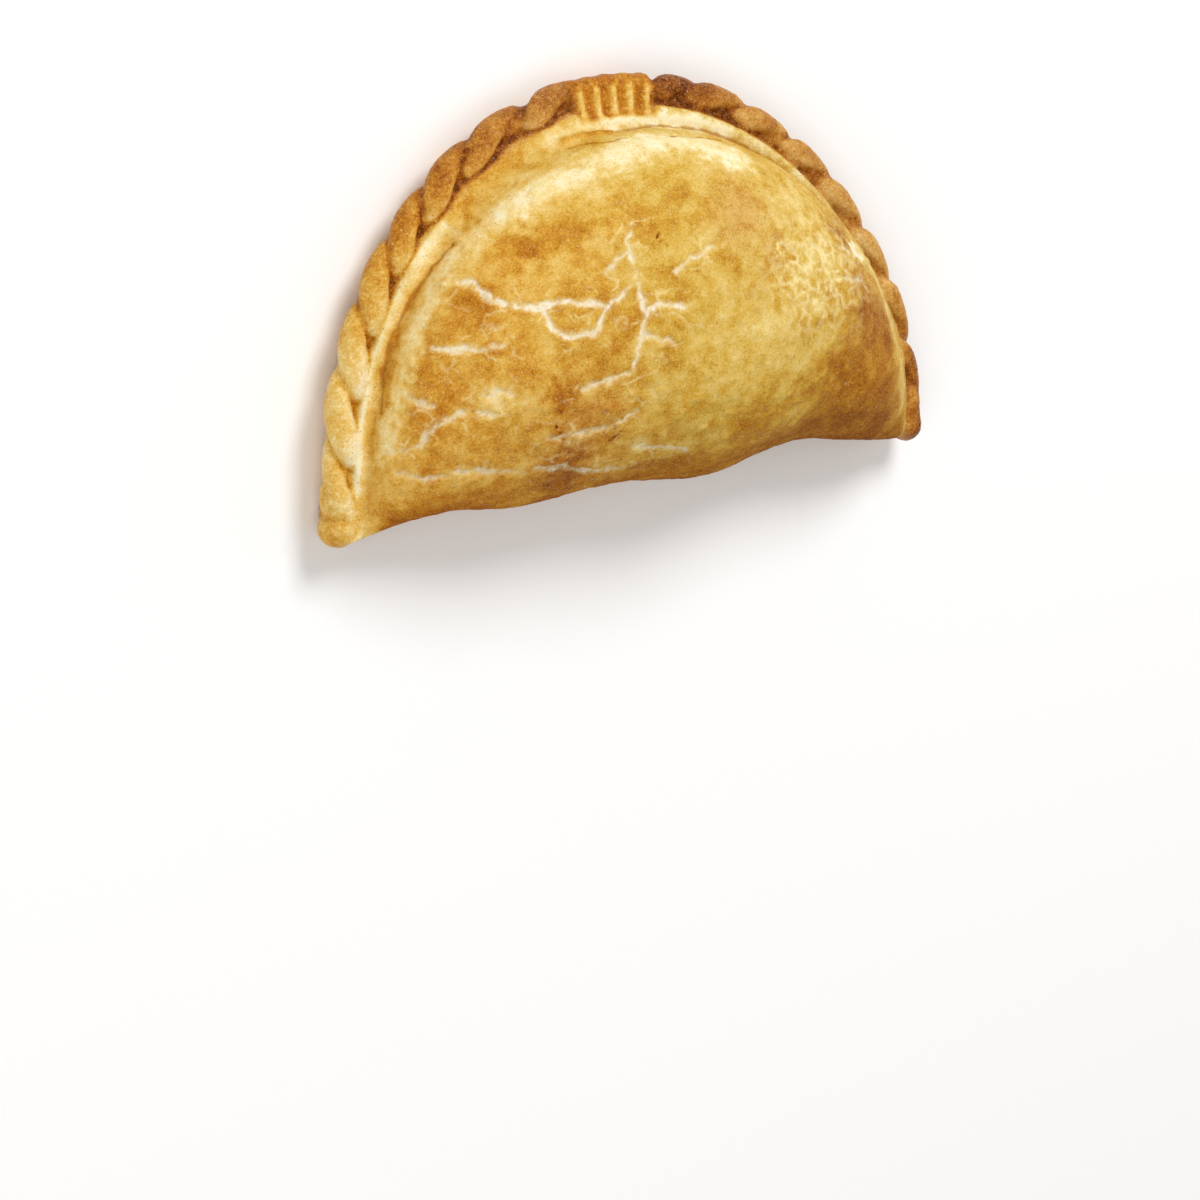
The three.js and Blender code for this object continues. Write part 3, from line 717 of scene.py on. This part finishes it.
crackle_x = (x - CRACKLE_X) / CRACKLE_HALF_LENGTH
crackle_y = (y - CRACKLE_Y) / CRACKLE_HALF_WIDTH
crackle = on_belly * np.exp(-(crackle_x ** 2 + crackle_y ** 2))
browning_and_painted_light = BELLY_BROWNING + 0.03 * smooth(x, -40, 0)
browning_and_painted_light += 0.1 * mottle(9, 3, 41.0) + 0.12 * mottle(3.2, 3, 43.0)
for values in BROWN_PATCHES:
    browning_and_painted_light += BROWN_STRENGTH * patch(*values)
for values in PALE_PATCHES:
    browning_and_painted_light -= PALE_STRENGTH * patch(*values)
by_fold = (1 - smooth(from_fold, 0, 9)) * on_belly
on_fold = (1 - smooth(from_fold, -1, 2)) * on_belly
browning_and_painted_light += 0.24 * by_fold + 0.06 * crackle
browning_and_painted_light = BROWNEST - LIMIT_SOFTNESS * np.log1p(np.exp((BROWNEST - browning_and_painted_light) / LIMIT_SOFTNESS))
for values in PALE_BANDS:
    browning_and_painted_light -= band(*values)
browning_and_painted_light += 0.1 * seam_line + band(LIP, 0.9, 0.34, 0.3) + 0.12 * on_fold
for speck in DARK_SPECKS:
    browning_and_painted_light += patch(*speck, SPECK_RADIUS, SPECK_AMOUNT)
print(f"belly: {len(BROWN_PATCHES)} brown and {len(PALE_PATCHES)} pale patches")

# %% Stretches of the rope
by_panel = np.exp(-((along - PANEL_MIDDLE) / 30) ** 2)
on_right = smooth(along, 10, 60)
right_end = smooth(along, 80, 96)
first_right = plateau(along, 6, 20, 4)
inner_right = plateau(along, 10, 28, 10) * smooth(inwards, 3.2, 5.6)
upper_left = plateau(along, -50, -30, 8)
lower_left = plateau(-along, 80, 92, 14)
inner_side = smooth(inwards, 0.5, 5)
near_tip = smooth(on_tips, 0.2, 0.6)
right_tip = near_tip * smooth(x, 40, 50)
over_tip = near_tip * (smooth(y, -3, 4) - 0.2)

# %% The rope and the panel
ROPE_BROWNING, ROPE_BROWNEST = 0.64, 0.86
PANEL_BROWNING, BASE_BROWNING = 0.7, 0.64
RIDGES_PALER = 0.36
LEFT_NECK = (-61.5, 5, 6, 0.12)
rope_browning_and_painted_light = ROPE_BROWNING + 0.1 * mottle(5, 3, 47.0) + 0.2 * by_panel - 0.28 * inner_side
# The inner sides under the first lobes right of the panel are made browner, partly by browning and partly
# as painted shade under the lobes.
rope_browning_and_painted_light += 0.02 * on_right + 0.22 * right_end + 0.22 * first_right + 0.26 * inner_right
rope_browning_and_painted_light += 0.1 * upper_left - 0.22 * lower_left + 0.14 * right_tip - 0.12 * over_tip
rope_browning_and_painted_light -= patch(*LEFT_NECK) + band(PALE_CREST, 1.5, 0.14, 0.6)
# Creases and hollows of the rope are made browner, partly by browning in the folds and partly as painted
# shade; its bumps and lobe tops are made paler, partly as a painted highlight.
crease_browning_and_shade = (0.32 + 0.1 * by_panel) * (1 - 0.6 * smooth(on_tips, 0.1, 0.5)) * (1 - 0.7 * on_right)
crease_browning_and_shade *= between(0.5, 1, smooth(inwards, -0.5, 2.5))
broad_crease_browning_and_shade = (0.26 + 0.2 * by_panel) * (1 - 0.75 * on_right)
rope_browning_and_painted_light += crease_browning_and_shade * np.maximum(crease, 0) - 0.12 * np.maximum(-crease, 0)
rope_browning_and_painted_light += broad_crease_browning_and_shade * np.maximum(broad_crease, 0) - 0.08 * np.maximum(-broad_crease, 0)
panel = on_panel(along) * on_seam
ridge_tops = panel * ridges(along) * smooth(inwards, -0.2, 2)
rope_browning_and_painted_light = between(np.minimum(rope_browning_and_painted_light, ROPE_BROWNEST), PANEL_BROWNING, panel)
browning_and_painted_light = between(browning_and_painted_light, rope_browning_and_painted_light - RIDGES_PALER * ridge_tops, on_seam)
browning_and_painted_light = np.clip(between(BASE_BROWNING, browning_and_painted_light, smooth(z, 0, 3)), 0, 1)
print(f"browning: {browning_and_painted_light.min():.2f} to {browning_and_painted_light.max():.2f}, {browning_and_painted_light.mean():.2f} on average")

# %% Yellow and tan dough
# Tan is a duller, greyer brown. The patch on the right flank and the tan of the rope beside the panel
# stand partly for painted sheen, the greyer look of a glossy reflection.
TAN_PATCHES = [(12, 49, 6, 0.7), (42.6, 24.7, 8, 0.6), (46, 6, 8, 0.6), (-26.1, 7.7, 5, 0.5),
               (-22, 16, 8, 0.5)]
yolk = smooth(x + 9 * mottle(12, 3, 61.0), -45, 2) * (1 - on_seam) + band(PALE_CREST, 1.6, 0.9, 0.6)
yolk -= band(LIP, 2.5, 0.7, 0.3)
tan = on_seam * (1 - panel) * np.exp(-((along - PANEL_MIDDLE) / 38) ** 2)
tan += 0.6 * on_seam * on_right
for values in TAN_PATCHES:
    tan += patch(*values) * on_belly

# %% Numbers for the material to read
VEIN_WOBBLE, VEIN_FADE, SEAM_LINE_FADE = 1.2, 1.2, 1.2
MATT_REACH, HAIRLINE_REACH, FINE_CRACK_LESS = 8, 4, 0.8
veins = 1 - away_from_all(VEINS, VEIN_WOBBLE) / VEIN_FADE
crack_gap = np.minimum(wide_gap, fine_gap + FINE_CRACK_LESS)


def keep(name, values):
    attribute = crust_mesh.attributes.new(name, "FLOAT", "POINT")
    attribute.data.foreach_set("value", values.astype(np.float32))


keep("browning_and_painted_light", browning_and_painted_light)
keep("yolk", np.clip(yolk, 0, 1))
keep("tan", np.clip(tan, 0, 1))
keep("veins", np.clip(veins, 0, 1))
keep("torn", torn)
keep("seam_line", np.clip(1 - seam_gap / SEAM_LINE_FADE, 0, 1))
keep("rope", on_seam)
keep("matt", (1 - smooth(from_fold, 0, MATT_REACH)) * on_belly)
keep("crackle", np.clip(1.3 * crackle, 0, 1))
keep("near_crack", np.exp(-(crack_gap / HAIRLINE_REACH) ** 2) * on_belly)

# %% [markdown]
# ## The crust's finish
# Egg wash bakes to a thin satin glaze over a grainy crust. Colour ramps turn the number for
# browning and painted light into pastry colours, with fine noise added so no patch is flat, and
# pale glints and sheen spots are painted in as highlights. Cracks show the pale inside of the
# crust and are matt, and so is the fold, which the glaze hardly reaches. A little subsurface
# scattering keeps the dough from looking like painted clay.

# %% Golden crust material


def srgb(red, green, blue):
    """A colour as picked on a screen, from 0 to 255, as the linear values that shaders use."""
    shares = [value / 255 for value in (red, green, blue)]
    linear = [((v + 0.055) / 1.055) ** 2.4 if v > 0.04 else v / 12.92 for v in shares]
    return (*linear, 1.0)


crust = bpy.data.materials.new("golden_crust")
crust.use_nodes = True
nodes, wires = crust.node_tree.nodes, crust.node_tree.links
shader = nodes["Principled BSDF"]
place = nodes.new("ShaderNodeTexCoord").outputs["Object"]


def attribute_of(name):
    node = nodes.new("ShaderNodeAttribute")
    node.attribute_name = name
    return node.outputs["Fac"]


def noise_of(size_mm, detail, roughness=0.55):
    node = nodes.new("ShaderNodeTexNoise")
    node.inputs["Scale"].default_value = 1 / (size_mm * MM)
    node.inputs["Detail"].default_value = detail
    node.inputs["Roughness"].default_value = roughness
    wires.new(place, node.inputs["Vector"])
    return node.outputs["Fac"]


def maths(operation, first, second, clamp=False):
    node = nodes.new("ShaderNodeMath")
    node.operation = operation
    node.use_clamp = clamp
    for socket, value in zip(node.inputs, (first, second)):
        if isinstance(value, (int, float)):
            socket.default_value = value
        else:
            wires.new(value, socket)
    return node.outputs["Value"]


def ramp(value, stops):
    node = nodes.new("ShaderNodeValToRGB")
    marks = node.color_ramp.elements
    while len(marks) < len(stops):
        marks.new(1.0)
    for mark, (position, colour) in zip(marks, stops):
        mark.position = position
        mark.color = colour
    wires.new(value, node.inputs["Fac"])
    return node.outputs["Color"]


def mixed(share, first, second):
    node = nodes.new("ShaderNodeMix")
    node.data_type = "RGBA"
    sockets = (node.inputs["Factor"], node.inputs[6], node.inputs[7])
    for socket, value in zip(sockets, (share, first, second)):
        if isinstance(value, (int, float, tuple)):
            socket.default_value = value
        else:
            wires.new(value, socket)
    return node.outputs[2]


def around_zero(value, amount):
    """Noise from 0 to 1 made to swing about zero."""
    return maths("MULTIPLY", maths("SUBTRACT", value, 0.5), amount)


def rising(value, low, high):
    node = nodes.new("ShaderNodeMapRange")
    node.interpolation_type = "SMOOTHSTEP"
    node.inputs["From Min"].default_value = low
    node.inputs["From Max"].default_value = high
    wires.new(value, node.inputs["Value"])
    return node.outputs["Result"]


# %% Pastry colours
# GLINT is the colour of painted glints.
GLINT, DARK_DOT, SEAM_SHADE = srgb(250, 232, 198), srgb(120, 68, 14), srgb(172, 112, 36)
FAINT_LINE, PALE_INSIDE = srgb(248, 231, 170), srgb(244, 235, 210)
DARK_DOT_SHARE = 0.45
toast_and_painted_light = maths("ADD", attribute_of("browning_and_painted_light"), around_zero(noise_of(0.4, 5, 0.7), 0.45))
toast_and_painted_light = maths("ADD", toast_and_painted_light, around_zero(noise_of(1.6, 6, 0.65), 0.32))
toast_and_painted_light = maths("ADD", toast_and_painted_light, around_zero(rising(noise_of(5.0, 7, 0.65), 0.4, 0.6), 0.07))
toast_and_painted_light = maths("ADD", toast_and_painted_light, around_zero(rising(toast_and_painted_light, 0.4, 0.62), 0.08))
charred = maths("MULTIPLY", around_zero(noise_of(1.8, 5, 0.7), 0.5), attribute_of("rope"))
# Pale spots on the rope are a painted sheen; the same spots are also made glossier.
gloss_and_painted_sheen = maths("MULTIPLY", rising(noise_of(0.7, 5, 0.7), 0.48, 0.68), attribute_of("rope"))
toast_and_painted_light = maths("SUBTRACT", maths("ADD", toast_and_painted_light, charred), maths("MULTIPLY", gloss_and_painted_sheen, 0.18), clamp=True)
orange_pastry = ramp(toast_and_painted_light, [
    (0.0, srgb(245, 230, 188)), (0.1, srgb(241, 216, 150)),
    (0.3, srgb(229, 188, 100)), (0.45, srgb(216, 165, 66)),
    (0.6, srgb(201, 139, 42)), (0.75, srgb(173, 102, 18)),
    (0.9, srgb(132, 66, 8)), (1.0, srgb(84, 34, 4))])
yellow_pastry = ramp(toast_and_painted_light, [
    (0.0, srgb(245, 233, 194)), (0.1, srgb(239, 220, 162)),
    (0.3, srgb(221, 188, 102)), (0.45, srgb(208, 167, 66)),
    (0.6, srgb(195, 144, 44)), (0.75, srgb(170, 108, 22)),
    (0.9, srgb(130, 66, 8)), (1.0, srgb(84, 34, 4))])
tan_pastry = ramp(toast_and_painted_light, [
    (0.0, srgb(240, 216, 166)), (0.3, srgb(215, 169, 99)),
    (0.45, srgb(200, 148, 77)), (0.6, srgb(184, 125, 54)),
    (0.75, srgb(157, 95, 32)), (0.9, srgb(122, 63, 16)), (1.0, srgb(80, 34, 6))])
pastry = mixed(attribute_of("yolk"), orange_pastry, yellow_pastry)
pastry = mixed(attribute_of("tan"), pastry, tan_pastry)
tan_rope = maths("MULTIPLY", attribute_of("tan"), attribute_of("rope"))
# Painted highlights: near-white glints on the tan rope and glint specks all over the crust.
glint = maths("MULTIPLY", rising(noise_of(0.5, 2), 0.66, 0.76), tan_rope)
glint_specks = maths("MULTIPLY", rising(noise_of(0.34, 1), 0.66, 0.74), 0.4)
pastry = mixed(maths("MAXIMUM", maths("MULTIPLY", glint, 0.7), glint_specks), pastry, GLINT)
# Tiny dark dots, darker than the crust round them, are scattered all over.
between_dark_dots = maths("MULTIPLY", rising(noise_of(0.46, 1), 0.26, 0.33), DARK_DOT_SHARE)
pastry = mixed(maths("SUBTRACT", DARK_DOT_SHARE, between_dark_dots), pastry, DARK_DOT)
drawn_line = maths("ADD", attribute_of("seam_line"), around_zero(noise_of(2.5, 3), 0.7))
pastry = mixed(maths("MULTIPLY", rising(drawn_line, 0.55, 0.95), 0.8), pastry, SEAM_SHADE)

# %% Torn glaze and crackle
frayed = maths("ADD", attribute_of("torn"), around_zero(noise_of(0.5, 5, 0.75), 0.6))
whiteness = maths("ADD", maths("MULTIPLY", rising(noise_of(1.2, 3), 0.38, 0.62), 0.5), 0.5)
open_crack = maths("MULTIPLY", rising(frayed, 0.82, 1.12), whiteness)
thin_glaze = maths("MULTIPLY", rising(frayed, 0.45, 1.0), 0.34)
SHAKE, SHAKE_SIZE = 1.7, 2.5
shaken = nodes.new("ShaderNodeVectorMath")
shaken.operation = "MULTIPLY_ADD"
shake_noise = nodes.new("ShaderNodeTexNoise")
shake_noise.inputs["Scale"].default_value = 1 / (SHAKE_SIZE * MM)
wires.new(place, shake_noise.inputs["Vector"])
wires.new(shake_noise.outputs["Color"], shaken.inputs[0])
shaken.inputs[1].default_value = (SHAKE * MM, SHAKE * MM, SHAKE * MM)
wires.new(place, shaken.inputs[2])


def net_of(size_mm, thinness):
    """A shaken net of thin lines round cells of about this size."""
    cells = nodes.new("ShaderNodeTexVoronoi")
    cells.feature = "DISTANCE_TO_EDGE"
    cells.inputs["Scale"].default_value = 1 / (size_mm * MM)
    wires.new(shaken.outputs["Vector"], cells.inputs["Vector"])
    return maths("SUBTRACT", 1.0, maths("MULTIPLY", cells.outputs["Distance"], thinness), clamp=True)


network = maths("MULTIPLY", net_of(2.7, 3.6), attribute_of("crackle"))
network = maths("MULTIPLY", network, rising(noise_of(2.2, 3), 0.36, 0.62))
vein = rising(maths("ADD", attribute_of("veins"), around_zero(noise_of(0.9, 4, 0.7), 0.7)), 0.5, 1.0)
hairlines = maths("MULTIPLY", net_of(5.0, 14.0), attribute_of("near_crack"))
hairlines = maths("MULTIPLY", hairlines, rising(noise_of(3.6, 3), 0.48, 0.6))
faint = maths("MAXIMUM", maths("MULTIPLY", network, 0.85), maths("MULTIPLY", hairlines, 0.6))
faint = maths("MAXIMUM", maths("MAXIMUM", faint, thin_glaze), maths("MULTIPLY", vein, 0.75))
crackled = maths("MAXIMUM", maths("MULTIPLY", faint, 0.5), maths("MULTIPLY", open_crack, 0.86))
pastry = mixed(faint, pastry, FAINT_LINE)
coloured = mixed(maths("MULTIPLY", open_crack, 0.92), pastry, PALE_INSIDE)
wires.new(coloured, shader.inputs["Base Color"])

# %% Glaze and pitted surface
shine = maths("ADD", around_zero(noise_of(0.8, 2), 0.3), 0.56)
shine = maths("ADD", shine, maths("MULTIPLY", crackled, 0.25))
shine = maths("ADD", shine, maths("MULTIPLY", attribute_of("matt"), 0.35))
shine = maths("SUBTRACT", shine, maths("MULTIPLY", attribute_of("rope"), 0.22))
wires.new(maths("SUBTRACT", shine, maths("MULTIPLY", gloss_and_painted_sheen, 0.14)), shader.inputs["Roughness"])
pitted = nodes.new("ShaderNodeBump")
pitted.inputs["Strength"].default_value = 0.45
pitted.inputs["Distance"].default_value = 0.25 * MM
height = maths("ADD", noise_of(0.4, 5, 0.65), maths("MULTIPLY", noise_of(1.3, 4), 1.5))
height = maths("MULTIPLY", height, maths("ADD", maths("MULTIPLY", attribute_of("rope"), 0.7), 1.0))
wires.new(maths("SUBTRACT", height, maths("MULTIPLY", crackled, 0.8)), pitted.inputs["Height"])
wires.new(pitted.outputs["Normal"], shader.inputs["Normal"])
shader.inputs["Subsurface Weight"].default_value = 0.08
shader.inputs["Subsurface Radius"].default_value = (1.0, 0.5, 0.25)
shader.inputs["Subsurface Scale"].default_value = 1.5 * MM
shader.inputs["Specular IOR Level"].default_value = 0.1
shader.inputs["IOR"].default_value = 1.4
print(f"golden crust: {len(nodes)} nodes")

# %% [markdown]
# ## One piece
# The skin becomes one object at the origin. It rides on the part's only body and stands for
# the part's only solid.

# %% The empanada
crust_mesh.materials.clear()
crust_mesh.materials.append(crust)
crust_mesh.shade_smooth()
empanada = bpy.data.objects.new("empanada_crust", crust_mesh)
bpy.context.scene.collection.objects.link(empanada)
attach(empanada, "root")
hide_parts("empanada")
print("empanada:", [round(side / MM, 1) for side in empanada.dimensions])

# %% [markdown]
# ## Floor, light and camera
# The floor is plain white card. A large soft light stands beyond the rope and to the right, so
# the belly is modelled by a soft shade towards the fold, and the shadow falls on the fold's side
# and a little to the left. A weaker light fills the shade, and one from the right draws the edge.
# The camera looks down at the domed side through a long lens, rolled a little.

# %% Floor
FLOOR_HALF = 3  # metres
sheet = bmesh.new()
bmesh.ops.create_grid(sheet, x_segments=2, y_segments=2, size=FLOOR_HALF)
floor_mesh = bpy.data.meshes.new("floor")
sheet.to_mesh(floor_mesh)
sheet.free()
card = bpy.data.materials.new("white_card")
card.use_nodes = True
card_shader = card.node_tree.nodes["Principled BSDF"]
card_shader.inputs["Base Color"].default_value = (0.97, 0.97, 0.97, 1)
card_shader.inputs["Roughness"].default_value = 0.8
card_shader.inputs["Specular IOR Level"].default_value = 0.1
floor_mesh.materials.append(card)
floor = bpy.data.objects.new("floor", floor_mesh)
bpy.context.scene.collection.objects.link(floor)

# %% Light


def soft_light(name, position, size, power):
    lamp = bpy.data.lights.new(name, "AREA")
    lamp.shape = "DISK"
    lamp.size = size
    lamp.energy = power
    holder = bpy.data.objects.new(name, lamp)
    holder.location = position
    holder.rotation_euler = (-Vector(position)).to_track_quat("-Z", "Y").to_euler()
    bpy.context.scene.collection.objects.link(holder)


soft_light("key", (0.3, 0.82, 0.9), 0.55, 10.2)
soft_light("fill", (-0.75, -0.3, 0.95), 1.2, 6.2)
soft_light("rim", (1.0, 0.15, 0.45), 0.6, 1.2)
world = bpy.data.worlds.new("studio")
world.use_nodes = True
background = world.node_tree.nodes["Background"]
background.inputs["Color"].default_value = (1, 0.975, 0.93, 1)
background.inputs["Strength"].default_value = 0.35
bpy.context.scene.world = world
bpy.context.scene.view_settings.view_transform = "Standard"

# %% Camera
YAW, RISE, ROLL = math.radians(30.3), math.radians(9.1), math.radians(4.2)
DISTANCE = 826.9
PIXELS_PER_MM = 5.36
IMAGE = 1200
CENTRE_PIXEL = (615.06, 473.31)  # where the middle of the fold falls in the picture
SENSOR = 36
towards = Vector((-math.sin(YAW) * math.cos(RISE), math.sin(RISE), math.cos(YAW) * math.cos(RISE)))
level = Vector((math.cos(YAW), 0, math.sin(YAW)))
upright = towards.cross(level)
right = math.cos(ROLL) * level - math.sin(ROLL) * upright
up = math.sin(ROLL) * level + math.cos(ROLL) * upright
focal_pixels = DISTANCE * PIXELS_PER_MM
to_middle = [IMAGE / 2 - pixel for pixel in CENTRE_PIXEL]
aim = -towards * focal_pixels + right * to_middle[0] - up * to_middle[1]
back = -aim.normalized()
right = (right - back * right.dot(back)).normalized()
up = back.cross(right)
lens = bpy.data.cameras.new("camera")
lens.sensor_width = SENSOR
lens.lens = focal_pixels / back.dot(towards) / IMAGE * SENSOR
camera = bpy.data.objects.new("camera", lens)
place_of_camera = (towards * DISTANCE + Vector(FOLD_MIDDLE)) * MM
turned = Matrix((right, up, back)).transposed().to_4x4()
camera.matrix_world = Matrix.Translation(place_of_camera) @ turned
bpy.context.scene.collection.objects.link(camera)
bpy.context.scene.camera = camera
print(f"camera: {lens.lens:.0f} mm lens, {place_of_camera.length:.2f} m away")
